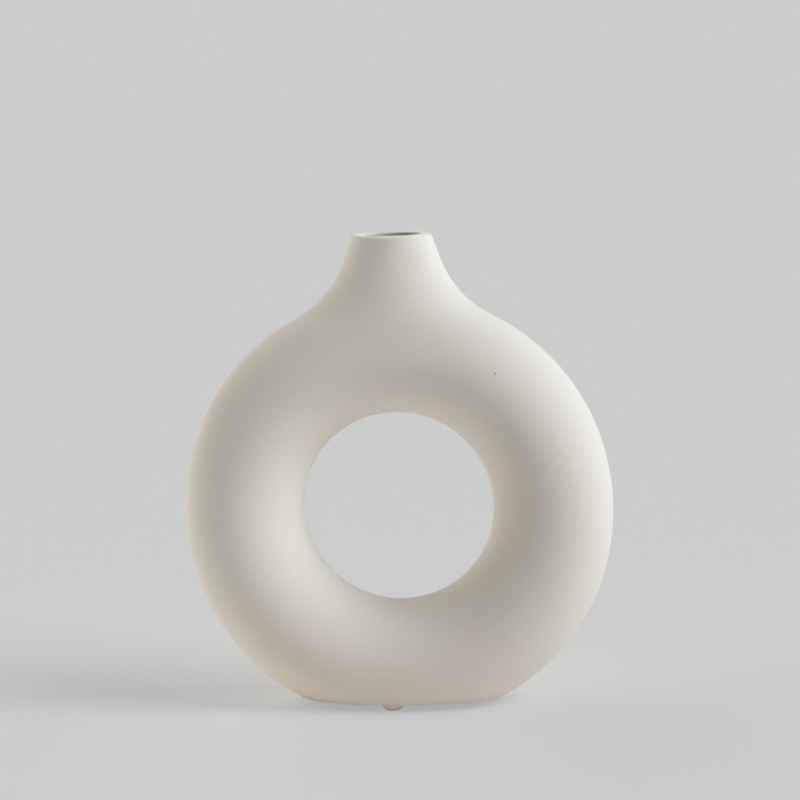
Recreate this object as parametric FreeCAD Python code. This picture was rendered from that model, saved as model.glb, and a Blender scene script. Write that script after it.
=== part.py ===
import FreeCAD, Part
import math
import os

# A slip-cast donut vase: one hollow ceramic ring that stands on a cut flat and grows a flared
# neck at its top, with four clear bumpers stuck under the flat. Millimetres and degrees.
# Z is up from the surface that the bumpers stand on, X runs along the ring's width and Y
# through its hole, with the ring's middle plane at Y = 0.

# Ring: a round tube bent into a full circle, which swells a little toward the base
ring_radius = 68.0          # from the hole's centre to the tube's centre line, at the top
tube_radius = 26.1          # outside of the tube at the top
foot_swell = 2.05           # how much thicker the tube is at the base, all of it outward
swell_start = 15.0          # angle above the hole's middle where the swelling starts
swell_end = 60.0            # angle below the hole's middle where it is complete
wall = 4.0                  # thickness that the slip leaves against the mould

# Base: the flat that the ring stands on
base_cut = 11.5             # height of the slice that the flat takes off the ring
base_edge_round = 2.0       # softened corner between the flat and the tube

# Neck: a tapered spout that flares into the ring's shoulders
neck_height = 25.8          # from the ring's round top up to the rim
rim_radius = 17.3           # outside of the lip
neck_taper = 19.6           # lean of the neck's sides from upright, seen from the front
shoulder_radius = 44.8      # hollow sweep from the neck into the ring, seen from the front
lip_round = 1.8             # soft outer corner of the lip
lip_inner_round = 0.7       # crisper inner corner, where the slip was trimmed

# Bumpers: clear domed feet, each on its own disc of adhesive
bumper_radius = 5.0         # at the base
bumper_tip_radius = 2.9     # flat that touches the table
bumper_bulge = 0.35         # how far the side swells past a straight cone
bumper_height = 2.85
adhesive_radius = 4.6
adhesive_thickness = 0.15
bumper_side_gap = 1.4       # from the flat's edge to the front and back bumpers
bumper_end_gap = 13.7       # from the flat's ends to the left and right bumpers
front_bumper_slip = 3.4     # the front bumper was stuck this far to the left

# How finely the form is drawn
leg_turn = 60.0             # the swelling ring is drawn from this far above the hole's middle
ring_steps = 30             # sections around it, less one
neck_levels = 16            # sections from the ring's crown line to the rim
levels_past_join = 2        # extra sections under the join, so that the skins meet smoothly
section_points = 40         # points around each section of the neck
cut_overrun = 5.0           # how far cutting shapes run past what they cut
seam_fit = 0.01             # how closely two neighbouring stretches of skin meet

crown_radius = ring_radius + tube_radius
base_drop = crown_radius + foot_swell - base_cut
rim_rise = crown_radius + neck_height
base_height = bumper_height + adhesive_thickness
ring_height = base_height + base_drop
leg_rise = crown_radius * math.sin(math.radians(swell_start))
foot_ring_radius = ring_radius + foot_swell / 2
foot_tube_radius = tube_radius + foot_swell / 2
flat_half_length = math.sqrt((crown_radius + foot_swell) ** 2 - base_drop ** 2)
flat_half_depth = math.sqrt(foot_tube_radius ** 2 - (base_drop - foot_ring_radius) ** 2)
bumper_reach_x = flat_half_length - bumper_end_gap - bumper_radius
bumper_reach_y = flat_half_depth - bumper_side_gap - bumper_radius


def eased(share):
    """A share from 0 to 1 that starts and ends gently."""
    share = min(max(share, 0), 1)
    return 3 * share ** 2 - 2 * share ** 3


def ring_section(turn, inset):
    """The tube's round outline where a radius of the ring cuts it, at an angle up from +X. Its
    inmost point stays on the hole's circle, so that all of the swelling goes outward."""
    below = -math.degrees(math.asin(math.sin(math.radians(turn))))
    swell = foot_swell * eased((below + swell_start) / (swell_start + swell_end))
    centre = FreeCAD.Vector(ring_radius + swell / 2, 0, 0)
    circle = Part.Circle(centre, FreeCAD.Vector(0, 0, 1), tube_radius + swell / 2 - inset)
    wire = Part.Wire(circle.toShape())
    wire.rotate(FreeCAD.Vector(0, 0, 0), FreeCAD.Vector(0, 1, 0), -turn)
    wire.translate(FreeCAD.Vector(0, 0, ring_height))
    return wire


def front_outline(inset):
    """The neck's right side seen from the front: where its straight side ends, where it meets
    the ring's circle, and the centre of the sweep between them. Heights are from the hole."""
    taper = math.radians(neck_taper)
    down = FreeCAD.Vector(math.sin(taper), 0, -math.cos(taper))
    out = FreeCAD.Vector(math.cos(taper), 0, math.sin(taper))
    lip = FreeCAD.Vector(rim_radius - inset, 0, rim_rise)
    sweep = shoulder_radius + inset
    crown = crown_radius - inset
    start = lip + out * sweep
    along = start.dot(down)
    run = -along - math.sqrt(along ** 2 - start.dot(start) + (crown + sweep) ** 2)
    centre = start + down * run
    side_end = lip + down * run
    ring_touch = centre * (crown / (crown + sweep))
    return side_end, ring_touch, centre


def half_width(z, inset):
    """Half of the body's width at a height above the hole's centre, seen from the front."""
    side_end, ring_touch, centre = front_outline(inset)
    if z >= side_end.z:
        return rim_radius - inset + (rim_rise - z) * math.tan(math.radians(neck_taper))
    if z >= ring_touch.z:
        return centre.x - math.sqrt((shoulder_radius + inset) ** 2 - (z - centre.z) ** 2)
    return math.sqrt((crown_radius - inset) ** 2 - z ** 2)


def half_depth(z, inset):
    """Half of the body's depth at that height, seen from the side: the tube's circle, then a
    side that draws in from the tube to the lip, first rounded and then hollow."""
    tube = tube_radius - inset
    if z <= ring_radius:
        return math.sqrt(tube ** 2 - (z - ring_radius) ** 2)
    lip = rim_radius - inset
    return tube + (lip - tube) * eased((z - ring_radius) / (rim_rise - ring_radius))


def fullness(share, z, inset):
    """Depth of a level section at a share of its half width, against its depth at the middle.
    It is the ring's own section low down and turns into an ellipse above the ring's crown."""
    tube = tube_radius - inset
    crown = crown_radius - inset
    if z >= crown:
        return math.sqrt(max(0, 1 - share ** 2))
    reach = share * math.sqrt(crown ** 2 - z ** 2)
    middle = tube ** 2 - (z - ring_radius) ** 2
    here = tube ** 2 - (math.hypot(reach, z) - ring_radius) ** 2
    return math.sqrt(max(0, here) / middle)


def level_section(z, inset):
    """The closed outline of the neck, or of the ring's crown, in a level plane."""
    width = half_width(z, inset)
    depth = half_depth(z, inset)
    points = []
    for step in range(section_points):
        turn = 2 * math.pi * step / section_points
        share = math.cos(turn)
        side = math.copysign(1, math.sin(turn))
        y = side * depth * fullness(share, z, inset)
        points.append(FreeCAD.Vector(width * share, y, ring_height + z))
    curve = Part.BSplineCurve()
    curve.interpolate(Points=points, PeriodicFlag=True)
    return Part.Wire(curve.toShape())


def slab(z_low, z_high):
    """A block wider than the ring between two heights above the hole's centre."""
    half = crown_radius + foot_swell + cut_overrun
    corner = FreeCAD.Vector(-half, -half, ring_height + z_low)
    return Part.makeBox(2 * half, 2 * half, z_high - z_low, corner)


def legs(inset, bottom):
    """The lower ring with its two legs, up to the height where the swelling starts."""
    turn_step = (180 + 2 * leg_turn) / ring_steps
    turns = [leg_turn - turn_step * step for step in range(ring_steps + 1)]
    sections = [ring_section(turn, inset) for turn in turns]
    return Part.makeLoft(sections, True).common(slab(bottom, leg_rise))


def shoulders(inset):
    """The plain part of the ring above the legs, up to the tube's centre line."""
    centre = FreeCAD.Vector(0, 0, ring_height)
    ring = Part.makeTorus(ring_radius, tube_radius - inset, centre, FreeCAD.Vector(0, 1, 0))
    return ring.common(slab(leg_rise, ring_radius))


def neck(inset, top):
    """The neck and the ring's crown, from the tube's centre line up."""
    step = (top - ring_radius) / neck_levels
    levels = range(-levels_past_join, neck_levels + 1)
    sections = [level_section(ring_radius + step * level, inset) for level in levels]
    horn = Part.makeLoft(sections, True)
    return horn.common(slab(ring_radius, top))


def skin(inset, bottom, top):
    """The whole outer form as one solid, drawn in by an inset, between two heights."""
    lower = legs(inset, bottom).fuse(shoulders(inset), seam_fit)
    return lower.fuse(neck(inset, top), seam_fit)


def edges_at(shape, z):
    """The edges of a shape that lie wholly at one height."""
    return [edge for edge in shape.Edges
            if abs(edge.BoundBox.ZMin - z) < 2 * seam_fit and abs(edge.BoundBox.ZMax - z) < 2 * seam_fit]


def rim_edges(shape, outer):
    """The outer or the inner edges of the lip."""
    found = []
    for edge in edges_at(shape, ring_height + rim_rise):
        reach = max(abs(edge.BoundBox.XMin), abs(edge.BoundBox.XMax))
        if (reach > rim_radius - wall / 2) == outer:
            found.append(edge)
    return found


def vase_body():
    """The cast shell: outer form less the space inside, open at the mouth."""
    outer = skin(0, -base_drop, rim_rise)
    inner = skin(wall, wall - base_drop, rim_rise)
    shell = outer.cut(inner)
    shell = shell.makeFillet(base_edge_round, edges_at(shell, base_height))
    shell = shell.makeFillet(lip_inner_round, rim_edges(shell, False))
    return shell.makeFillet(lip_round, rim_edges(shell, True))


def bumper(x, y):
    """One clear foot: a domed button turned about its own upright axis, wide side up."""
    top = FreeCAD.Vector(bumper_radius, 0, bumper_height)
    tip = FreeCAD.Vector(bumper_tip_radius, 0, 0)
    swell = (top + tip) / 2
    swell = swell + FreeCAD.Vector(bumper_bulge, 0, -bumper_bulge)
    side = Part.Arc(top, swell, tip).toShape()
    axis_top = FreeCAD.Vector(0, 0, bumper_height)
    axis_tip = FreeCAD.Vector(0, 0, 0)
    lines = [Part.LineSegment(tip, axis_tip), Part.LineSegment(axis_tip, axis_top),
             Part.LineSegment(axis_top, top)]
    outline = Part.Wire([side] + [line.toShape() for line in lines])
    solid = Part.Face(outline).revolve(axis_tip, FreeCAD.Vector(0, 0, 1), 360)
    solid.translate(FreeCAD.Vector(x, y, 0))
    return solid


def adhesive(x, y):
    """The thin disc that holds one bumper to the flat."""
    corner = FreeCAD.Vector(x, y, bumper_height)
    return Part.makeCylinder(adhesive_radius, adhesive_thickness, corner)


def save(node, shape):
    """Write one piece, and say what it measures."""
    box = shape.BoundBox
    print(node, "valid", shape.isValid(), "solids", len(shape.Solids), "volume", round(shape.Volume, 2),
          "x", round(box.XMin, 2), round(box.XMax, 2), "y", round(box.YMin, 2), round(box.YMax, 2),
          "z", round(box.ZMin, 2), round(box.ZMax, 2))
    shape.exportStep("parts/" + node + ".step")


os.makedirs("parts", exist_ok=True)
save("vase_body", vase_body())
bumper_places = {
    "front": (-front_bumper_slip, -bumper_reach_y),
    "back": (0, bumper_reach_y),
    "left": (-bumper_reach_x, 0),
    "right": (bumper_reach_x, 0),
}
for place, (x, y) in bumper_places.items():
    save("bumper_" + place, bumper(x, y))
    save("adhesive_" + place, adhesive(x, y))
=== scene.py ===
import math

import bmesh
import bpy
from mathutils import Matrix

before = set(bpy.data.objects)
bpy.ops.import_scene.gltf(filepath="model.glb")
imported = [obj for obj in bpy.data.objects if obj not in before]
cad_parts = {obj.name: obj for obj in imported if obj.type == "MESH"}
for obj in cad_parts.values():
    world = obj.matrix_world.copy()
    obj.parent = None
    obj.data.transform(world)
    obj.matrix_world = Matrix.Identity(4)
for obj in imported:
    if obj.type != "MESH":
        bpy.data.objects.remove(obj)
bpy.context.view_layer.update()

# The camera looks at the vase from a little above and from five degrees to its right, so that
# the ring is seen almost square on, with a sliver of the mouth. It is turned by a hair on its
# own axis, as in the photo. Lengths are in metres from the middle of the ring's hole.
hole_height = 0.08765
camera_distance = 1.1
camera_rise = 0.187
camera_round = math.radians(5.12)
camera_pan = math.radians(-0.101)
camera_pitch = math.radians(7.254)
camera_roll = math.radians(-1.59)
camera_sensor_width = 36
camera_lens = 113.84
camera_data = bpy.data.cameras.new("camera")
camera_data.sensor_width = camera_sensor_width
camera_data.lens = camera_lens
camera = bpy.data.objects.new("camera", camera_data)
bpy.context.scene.collection.objects.link(camera)
camera_x = camera_distance * math.sin(camera_round)
camera_y = -camera_distance * math.cos(camera_round)
camera_place = Matrix.Translation((camera_x, camera_y, hole_height + camera_rise))
camera_heading = Matrix.Rotation(camera_round + camera_pan, 4, "Z")
camera_tilt = Matrix.Rotation(math.pi / 2 - camera_pitch, 4, "X")
camera_lean = Matrix.Rotation(camera_roll, 4, "Z")
camera.matrix_world = camera_place @ camera_heading @ camera_tilt @ camera_lean
bpy.context.scene.camera = camera
bpy.context.scene.view_settings.view_transform = "Standard"

# The body is one slip-cast shell of white stoneware, sponged smooth and fired. Outside it is
# bare, a chalky bisque with a fine dry tooth, a few tiny specks of iron and a tone that drifts
# slightly from the firing. The flat under it is sanded. Inside it has a clear glaze, and its
# tone there is painted darker as the shade deep in the hollow.
bisque_tone = (0.835, 0.802, 0.757, 1)
bisque_warm_tone = (0.795, 0.751, 0.697, 1)
bisque_grain_tone = (0.71, 0.68, 0.63, 1)
drift_per_metre = 16
grain_per_metre = 1150
grain_strength = 0.22
speck_tone = (0.36, 0.31, 0.26, 1)
speck_per_metre = 190
speck_width = 0.05
speck_share = 0.95
speck_strength = 0.45
shoulder_speck_place = (0.0453, -0.0249, 0.1485)
shoulder_speck_radius = 0.0004
sanded_tone = (0.86, 0.85, 0.83, 1)
sanded_per_metre = 420
sanded_height = 0.0032
sanded_depth = 0.00006
# Inside tones: a clear glaze, darker than the bisque as painted shade of the hollow.
glaze_and_shade_thin_tone = (0.76, 0.74, 0.70, 1)
glaze_and_shade_thick_tone = (0.66, 0.64, 0.58, 1)
glaze_roughness = 0.35
glaze_and_shade_edge = 0.002
middle_line_radius = 0.068
ripple_per_metre = 38
ripple_depth = 0.00012
tooth_per_metre = 620
tooth_depth = 0.00004

mottle = bpy.data.node_groups.new("soft_mottle", "ShaderNodeTree")
mottle.interface.new_socket("Per Metre", in_out="INPUT", socket_type="NodeSocketFloat")
mottle.interface.new_socket("Detail", in_out="INPUT", socket_type="NodeSocketFloat")
mottle.interface.new_socket("Contrast", in_out="INPUT", socket_type="NodeSocketFloat")
mottle.interface.new_socket("Amount", in_out="OUTPUT", socket_type="NodeSocketFloat")
mottle_in = mottle.nodes.new("NodeGroupInput")
mottle_out = mottle.nodes.new("NodeGroupOutput")
mottle_place = mottle.nodes.new("ShaderNodeTexCoord")
mottle_noise = mottle.nodes.new("ShaderNodeTexNoise")
mottle_centre = mottle.nodes.new("ShaderNodeMath")
mottle_centre.operation = "SUBTRACT"
mottle_centre.inputs[1].default_value = 0.5
mottle_spread = mottle.nodes.new("ShaderNodeMath")
mottle_spread.operation = "MULTIPLY_ADD"
mottle_spread.use_clamp = True
mottle_spread.inputs[2].default_value = 0.5
mottle.links.new(mottle_place.outputs["Object"], mottle_noise.inputs["Vector"])
mottle.links.new(mottle_in.outputs["Per Metre"], mottle_noise.inputs["Scale"])
mottle.links.new(mottle_in.outputs["Detail"], mottle_noise.inputs["Detail"])
mottle.links.new(mottle_noise.outputs["Fac"], mottle_centre.inputs[0])
mottle.links.new(mottle_centre.outputs[0], mottle_spread.inputs[0])
mottle.links.new(mottle_in.outputs["Contrast"], mottle_spread.inputs[1])
mottle.links.new(mottle_spread.outputs[0], mottle_out.inputs["Amount"])


def add_mottle(tree, per_metre, detail, contrast):
    """Places the soft mottle in a material and returns its output, which varies round 0.5."""
    group = tree.nodes.new("ShaderNodeGroup")
    group.node_tree = mottle
    group.inputs["Per Metre"].default_value = per_metre
    group.inputs["Detail"].default_value = detail
    group.inputs["Contrast"].default_value = contrast
    return group.outputs["Amount"]


def mix_tones(tree, share, low_tone, high_tone):
    """Mixes two colours, each a fixed tone or another node's output, by a share."""
    mix = tree.nodes.new("ShaderNodeMix")
    mix.data_type = "RGBA"
    # The Mix node's colour sockets are its inputs 6 and 7 and its output 2.
    for socket, tone in ((mix.inputs[6], low_tone), (mix.inputs[7], high_tone)):
        if isinstance(tone, tuple):
            socket.default_value = tone
        else:
            tree.links.new(tone, socket)
    tree.links.new(share, mix.inputs[0])
    return mix.outputs[2]


def spread_range(tree, amount, low, high):
    """Stretches an amount from 0 to 1 between two values."""
    stretch = tree.nodes.new("ShaderNodeMapRange")
    stretch.inputs["To Min"].default_value = low
    stretch.inputs["To Max"].default_value = high
    tree.links.new(amount, stretch.inputs["Value"])
    return stretch.outputs["Result"]


def test_amount(tree, amount, operation, limit):
    """Gives 1 where an amount is less or greater than a limit, and 0 elsewhere."""
    test = tree.nodes.new("ShaderNodeMath")
    test.operation = operation
    test.inputs[1].default_value = limit
    tree.links.new(amount, test.inputs[0])
    return test.outputs[0]


def multiply_amounts(tree, first, second):
    """Multiplies two amounts."""
    product = tree.nodes.new("ShaderNodeMath")
    product.operation = "MULTIPLY"
    tree.links.new(first, product.inputs[0])
    tree.links.new(second, product.inputs[1])
    return product.outputs[0]


def step_vector(tree, vector, operation, constant):
    """Adds a vector step with a fixed second vector and returns its outputs."""
    step = tree.nodes.new("ShaderNodeVectorMath")
    step.operation = operation
    step.inputs[1].default_value = constant
    tree.links.new(vector, step.inputs[0])
    return step.outputs


def raise_relief(tree, height, depth, under=None):
    """Adds relief of a given depth in metres, over another relief if there is one."""
    bump = tree.nodes.new("ShaderNodeBump")
    bump.inputs["Strength"].default_value = 1
    bump.inputs["Distance"].default_value = depth
    tree.links.new(height, bump.inputs["Height"])
    if under:
        tree.links.new(under, bump.inputs["Normal"])
    return bump.outputs["Normal"]


bisque = bpy.data.materials.new("bisque_ceramic")
bisque.use_nodes = True
clay = bisque.node_tree
clay_shader = clay.nodes["Principled BSDF"]
clay_place = clay.nodes.new("ShaderNodeTexCoord")
clay_drift = add_mottle(clay, drift_per_metre, detail=3, contrast=2.2)
clay_grain = add_mottle(clay, grain_per_metre, detail=2, contrast=2.0)
clay_grain_share = spread_range(clay, clay_grain, low=grain_strength, high=0)
clay_tone = mix_tones(clay, clay_drift, bisque_warm_tone, bisque_tone)
clay_tone = mix_tones(clay, clay_grain_share, clay_tone, bisque_grain_tone)

# Specks: round dots at the middles of a few cells only.
speck_cells = clay.nodes.new("ShaderNodeTexVoronoi")
speck_cells.inputs["Scale"].default_value = speck_per_metre
clay.links.new(clay_place.outputs["Object"], speck_cells.inputs["Vector"])
speck_dot = test_amount(clay, speck_cells.outputs["Distance"], "LESS_THAN", speck_width)
speck_pick = clay.nodes.new("ShaderNodeSeparateColor")
clay.links.new(speck_cells.outputs["Color"], speck_pick.inputs[0])
speck_few = test_amount(clay, speck_pick.outputs["Red"], "GREATER_THAN", speck_share)
speck_mask = multiply_amounts(clay, speck_dot, speck_few)
speck_faint = spread_range(clay, speck_mask, low=0, high=speck_strength)
clay_tone = mix_tones(clay, speck_faint, clay_tone, speck_tone)

# The one larger speck, on the right shoulder.
shoulder_steps = step_vector(clay, clay_place.outputs["Object"], "DISTANCE", shoulder_speck_place)
shoulder_speck = test_amount(clay, shoulder_steps["Value"], "LESS_THAN", shoulder_speck_radius)
clay_tone = mix_tones(clay, shoulder_speck, clay_tone, speck_tone)

# Sanded flat: coarser and a shade paler, up to the rounded edge.
clay_axes = clay.nodes.new("ShaderNodeSeparateXYZ")
clay.links.new(clay_place.outputs["Object"], clay_axes.inputs[0])
sanded = test_amount(clay, clay_axes.outputs["Z"], "LESS_THAN", sanded_height)
sanded_scratches = add_mottle(clay, sanded_per_metre, detail=6, contrast=3.0)
sanded_scuff = multiply_amounts(clay, sanded, sanded_scratches)
clay_tone = mix_tones(clay, sanded_scuff, clay_tone, sanded_tone)

# Glazed inside, with painted shade: a point is on the inner skin where its face looks toward the
# tube's middle line, or toward the neck's axis above it. There the glaze gives a gloss, and the
# darker tone is painted shade of the deep hollow. Both stop at the inner corner of the lip.
hole_middle = (0, 0, hole_height)
from_hole = step_vector(clay, clay_place.outputs["Object"], "SUBTRACT", hole_middle)["Vector"]
ring_plane = step_vector(clay, from_hole, "MULTIPLY", (1, 0, 1))["Vector"]
ring_spoke = clay.nodes.new("ShaderNodeVectorMath")
ring_spoke.operation = "NORMALIZE"
clay.links.new(ring_plane, ring_spoke.inputs[0])
tube_middle = clay.nodes.new("ShaderNodeVectorMath")
tube_middle.operation = "SCALE"
tube_middle.inputs["Scale"].default_value = middle_line_radius
clay.links.new(ring_spoke.outputs["Vector"], tube_middle.inputs[0])
from_tube = clay.nodes.new("ShaderNodeVectorMath")
from_tube.operation = "SUBTRACT"
clay.links.new(from_hole, from_tube.inputs[0])
clay.links.new(tube_middle.outputs["Vector"], from_tube.inputs[1])
from_neck = step_vector(clay, from_hole, "MULTIPLY", (1, 1, 0))["Vector"]
neck_foot = hole_height + middle_line_radius
in_neck = test_amount(clay, clay_axes.outputs["Z"], "GREATER_THAN", neck_foot)
# The Mix node's vector sockets are its inputs 4 and 5 and its output 1.
from_middle = clay.nodes.new("ShaderNodeMix")
from_middle.data_type = "VECTOR"
clay.links.new(in_neck, from_middle.inputs[0])
clay.links.new(from_tube.outputs["Vector"], from_middle.inputs[4])
clay.links.new(from_neck, from_middle.inputs[5])
facing_in = clay.nodes.new("ShaderNodeVectorMath")
facing_in.operation = "DOT_PRODUCT"
clay.links.new(from_middle.outputs[1], facing_in.inputs[0])
clay.links.new(clay_place.outputs["Normal"], facing_in.inputs[1])
glazed_and_shaded = clay.nodes.new("ShaderNodeMapRange")
glazed_and_shaded.inputs["From Min"].default_value = 0
glazed_and_shaded.inputs["From Max"].default_value = -glaze_and_shade_edge
clay.links.new(facing_in.outputs["Value"], glazed_and_shaded.inputs["Value"])
# Painted shade: the inner tones are darker than the bisque and stand in for the shade deep
# inside.
glaze_and_shade_tone = mix_tones(clay, clay_drift, glaze_and_shade_thick_tone, glaze_and_shade_thin_tone)
clay_tone = mix_tones(clay, glazed_and_shaded.outputs["Result"], clay_tone, glaze_and_shade_tone)
clay_dryness = spread_range(clay, clay_grain, low=0.92, high=0.74)
# The Mix node's number sockets are its inputs 2 and 3 and its output 0.
clay_gloss = clay.nodes.new("ShaderNodeMix")
clay_gloss.inputs[3].default_value = glaze_roughness
clay.links.new(glazed_and_shaded.outputs["Result"], clay_gloss.inputs[0])
clay.links.new(clay_dryness, clay_gloss.inputs[2])

# A faint ripple from sponging, the dry tooth of the clay, and the scuffs of the sanded flat.
clay_ripple = add_mottle(clay, ripple_per_metre, detail=1, contrast=1.0)
clay_tooth = add_mottle(clay, tooth_per_metre, detail=3, contrast=1.6)
clay_relief = raise_relief(clay, clay_ripple, ripple_depth)
clay_relief = raise_relief(clay, clay_tooth, tooth_depth, clay_relief)
clay_relief = raise_relief(clay, sanded_scuff, sanded_depth, clay_relief)

clay.links.new(clay_tone, clay_shader.inputs["Base Color"])
clay.links.new(clay_gloss.outputs[0], clay_shader.inputs["Roughness"])
clay.links.new(clay_relief, clay_shader.inputs["Normal"])
clay_shader.inputs["Specular IOR Level"].default_value = 0.3
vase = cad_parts["vase_body"]
vase.material_slots[0].material = bisque

# The bumpers are moulded domes of milky, barely clear polyurethane, bought on a sheet and
# pressed on by hand. Each has a faint bloom of dust and of shelf wear on its skin.
clear_tone = (1, 0.98, 0.97, 1)
milky_tone = (0.96, 0.94, 0.93, 1)
cloud_per_metre = 260
dust_per_metre = 2600
dust_depth = 0.00001
bumper_places = ("front", "back", "left", "right")
rubber = bpy.data.materials.new("clear_bumper")
rubber.use_nodes = True
gum = rubber.node_tree
gum_shader = gum.nodes["Principled BSDF"]
gum_cloud = add_mottle(gum, cloud_per_metre, detail=4, contrast=2.2)
gum_dust = add_mottle(gum, dust_per_metre, detail=3, contrast=2.6)
gum_tone = mix_tones(gum, gum_cloud, milky_tone, clear_tone)
gum_wear = spread_range(gum, gum_dust, low=0.12, high=0.32)
gum.links.new(gum_tone, gum_shader.inputs["Base Color"])
gum.links.new(gum_wear, gum_shader.inputs["Roughness"])
gum.links.new(raise_relief(gum, gum_dust, dust_depth), gum_shader.inputs["Normal"])
gum_shader.inputs["IOR"].default_value = 1.49
gum_shader.inputs["Transmission Weight"].default_value = 0.1
for place in bumper_places:
    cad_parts["bumper_" + place].material_slots[0].material = rubber

# The adhesive is a thin disc of clear acrylic on top of each bumper, wetted out unevenly against
# the dry clay, so it looks like a paler, blotchy ring.
wet_tone = (0.70, 0.67, 0.62, 1)
dry_tone = (0.84, 0.83, 0.80, 1)
wetting_per_metre = 700
wetting_depth = 0.00001
glue = bpy.data.materials.new("adhesive_disc")
glue.use_nodes = True
film = glue.node_tree
film_shader = film.nodes["Principled BSDF"]
film_wetting = add_mottle(film, wetting_per_metre, detail=5, contrast=4.0)
film_tone = mix_tones(film, film_wetting, wet_tone, dry_tone)
film_sheen = spread_range(film, film_wetting, low=0.35, high=0.6)
film.links.new(film_tone, film_shader.inputs["Base Color"])
film.links.new(film_sheen, film_shader.inputs["Roughness"])
film.links.new(raise_relief(film, film_wetting, wetting_depth), film_shader.inputs["Normal"])
for place in bumper_places:
    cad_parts["adhesive_" + place].material_slots[0].material = glue

# The floor is a plain sheet of pale grey paper that runs back out of sight. To the camera part
# of its grey is its own glow, so that it meets the background evenly and keeps a soft shadow.
# The light that it sends back up to the vase is plain grey from the left, warm from the middle
# and fades out to the right, as between a white board and a dark one.
background_tone = (0.6038, 0.6038, 0.6038, 1)
floor_reach = 60
paper_tone = (0.6, 0.6, 0.6, 1)
bounce_left_tone = (0.344, 0.349, 0.331, 1)
bounce_middle_tone = (0.273, 0.201, 0.132, 1)
bounce_right_tone = (0, 0, 0, 1)
bounce_reach = 0.15
bounce_shade_reach = 0.007
paper_seen_tone = (0.28, 0.28, 0.28, 1)
paper_glow_tone = (0.372, 0.371, 0.379, 1)


def seen_rays(tree):
    """Picks out the rays that see the backdrop itself: straight, mirrored or through glass."""
    paths = tree.nodes.new("ShaderNodeLightPath")
    seen = paths.outputs["Is Camera Ray"]
    for kind in ("Is Glossy Ray", "Is Transmission Ray"):
        either = tree.nodes.new("ShaderNodeMath")
        either.operation = "MAXIMUM"
        tree.links.new(seen, either.inputs[0])
        tree.links.new(paths.outputs[kind], either.inputs[1])
        seen = either.outputs[0]
    return seen


floor_mesh = bpy.data.meshes.new("floor")
floor_shape = bmesh.new()
bmesh.ops.create_grid(floor_shape, x_segments=1, y_segments=1, size=floor_reach)
floor_shape.to_mesh(floor_mesh)
floor_shape.free()
floor = bpy.data.objects.new("floor", floor_mesh)
bpy.context.scene.collection.objects.link(floor)
paper = bpy.data.materials.new("pale_paper")
paper.use_nodes = True
sheet = paper.node_tree
paper_shader = sheet.nodes["Principled BSDF"]
paper_shader.inputs["Base Color"].default_value = paper_tone
paper_shader.inputs["Roughness"].default_value = 1
paper_shader.inputs["Specular IOR Level"].default_value = 0
paper_shader.inputs["Emission Strength"].default_value = 1

# The bounce from left to right, which also fades where the base closely covers the floor.
paper_place = sheet.nodes.new("ShaderNodeTexCoord")
paper_axes = sheet.nodes.new("ShaderNodeSeparateXYZ")
sheet.links.new(paper_place.outputs["Object"], paper_axes.inputs[0])
paper_across = sheet.nodes.new("ShaderNodeMapRange")
paper_across.inputs["From Min"].default_value = -bounce_reach
paper_across.inputs["From Max"].default_value = bounce_reach
sheet.links.new(paper_axes.outputs["X"], paper_across.inputs["Value"])
paper_bounce = sheet.nodes.new("ShaderNodeValToRGB")
paper_bounce.color_ramp.elements[0].color = bounce_left_tone
paper_bounce.color_ramp.elements[1].color = bounce_right_tone
paper_bounce.color_ramp.elements.new(0.5).color = bounce_middle_tone
sheet.links.new(paper_across.outputs["Result"], paper_bounce.inputs[0])
paper_shade = sheet.nodes.new("ShaderNodeAmbientOcclusion")
paper_shade.inputs["Distance"].default_value = bounce_shade_reach
sheet.links.new(paper_bounce.outputs["Color"], paper_shade.inputs["Color"])
sheet.links.new(paper_shade.outputs["Color"], paper_shader.inputs["Emission Color"])

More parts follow.
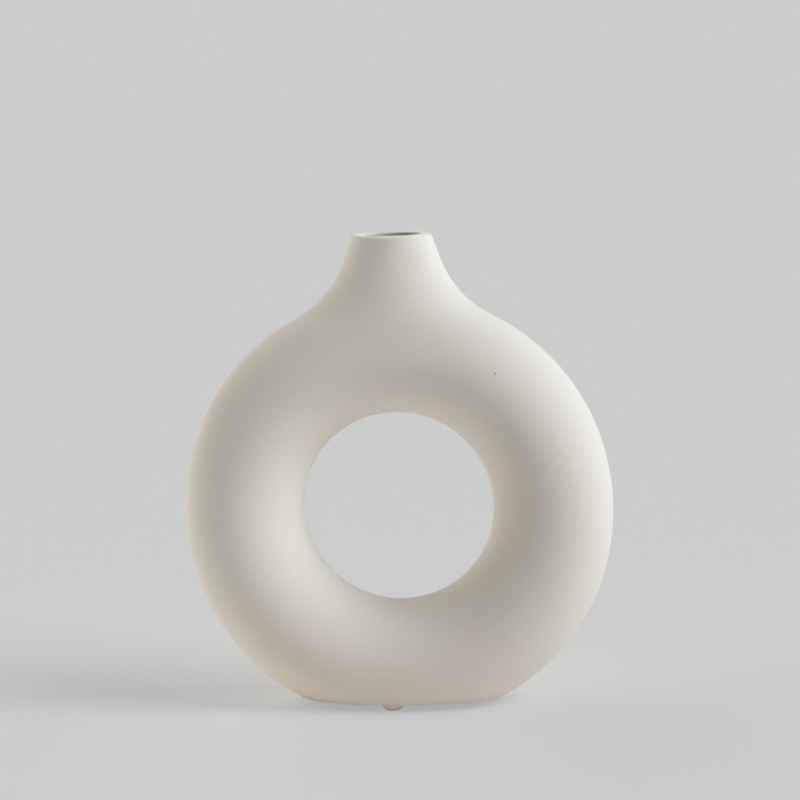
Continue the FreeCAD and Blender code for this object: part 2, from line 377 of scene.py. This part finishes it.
# What the camera sees of the floor: a darker paper that takes the shadows, and the glow.
paper_seen = sheet.nodes.new("ShaderNodeBsdfDiffuse")
paper_seen.inputs["Color"].default_value = paper_seen_tone
paper_glow = sheet.nodes.new("ShaderNodeEmission")
paper_glow.inputs["Color"].default_value = paper_glow_tone
paper_both = sheet.nodes.new("ShaderNodeAddShader")
paper_mix = sheet.nodes.new("ShaderNodeMixShader")
sheet.links.new(paper_seen.outputs[0], paper_both.inputs[0])
sheet.links.new(paper_glow.outputs[0], paper_both.inputs[1])
sheet.links.new(seen_rays(sheet), paper_mix.inputs[0])
sheet.links.new(paper_shader.outputs[0], paper_mix.inputs[1])
sheet.links.new(paper_both.outputs[0], paper_mix.inputs[2])
sheet.links.new(paper_mix.outputs[0], sheet.nodes["Material Output"].inputs["Surface"])
floor_mesh.materials.append(paper)

# Soft studio light: a large soft lamp high on the right, a weaker one below it, a very broad
# one low behind the left and a small cool one low behind the right. The room itself is dark,
# with an even grey backdrop. Each lamp has its bearing round the vase from the right, its
# height, its width, its level and its colour.
soft_lights = {
    "key": (345, 40, 35, 0.697, (0.983, 1, 1)),
    "low_key": (345, 12, 35, 0.245, (0.927, 0.914, 1)),
    "fill": (150, 10, 110, 0.964, (1, 0.950, 0.834)),
    "edge": (30, 12, 35, 0.192, (0.620, 0.880, 1)),
}
for name, (bearing, height, width, level, colour) in soft_lights.items():
    light_data = bpy.data.lights.new(name, "SUN")
    light_data.angle = math.radians(width)
    light_data.energy = math.pi * level
    light_data.color = colour
    light = bpy.data.objects.new(name, light_data)
    light.rotation_euler = (math.radians(90 - height), 0, math.radians(bearing + 90))
    bpy.context.scene.collection.objects.link(light)
world = bpy.data.worlds.new("studio")
bpy.context.scene.world = world
world.use_nodes = True
room = world.node_tree
room_light = room.nodes["Background"]
room_light.inputs["Color"].default_value = (0, 0, 0, 1)
room_seen = room.nodes.new("ShaderNodeBackground")
room_seen.inputs["Color"].default_value = background_tone
room_mix = room.nodes.new("ShaderNodeMixShader")
room.links.new(seen_rays(room), room_mix.inputs[0])
room.links.new(room_light.outputs[0], room_mix.inputs[1])
room.links.new(room_seen.outputs[0], room_mix.inputs[2])
room.links.new(room_mix.outputs[0], room.nodes["World Output"].inputs["Surface"])
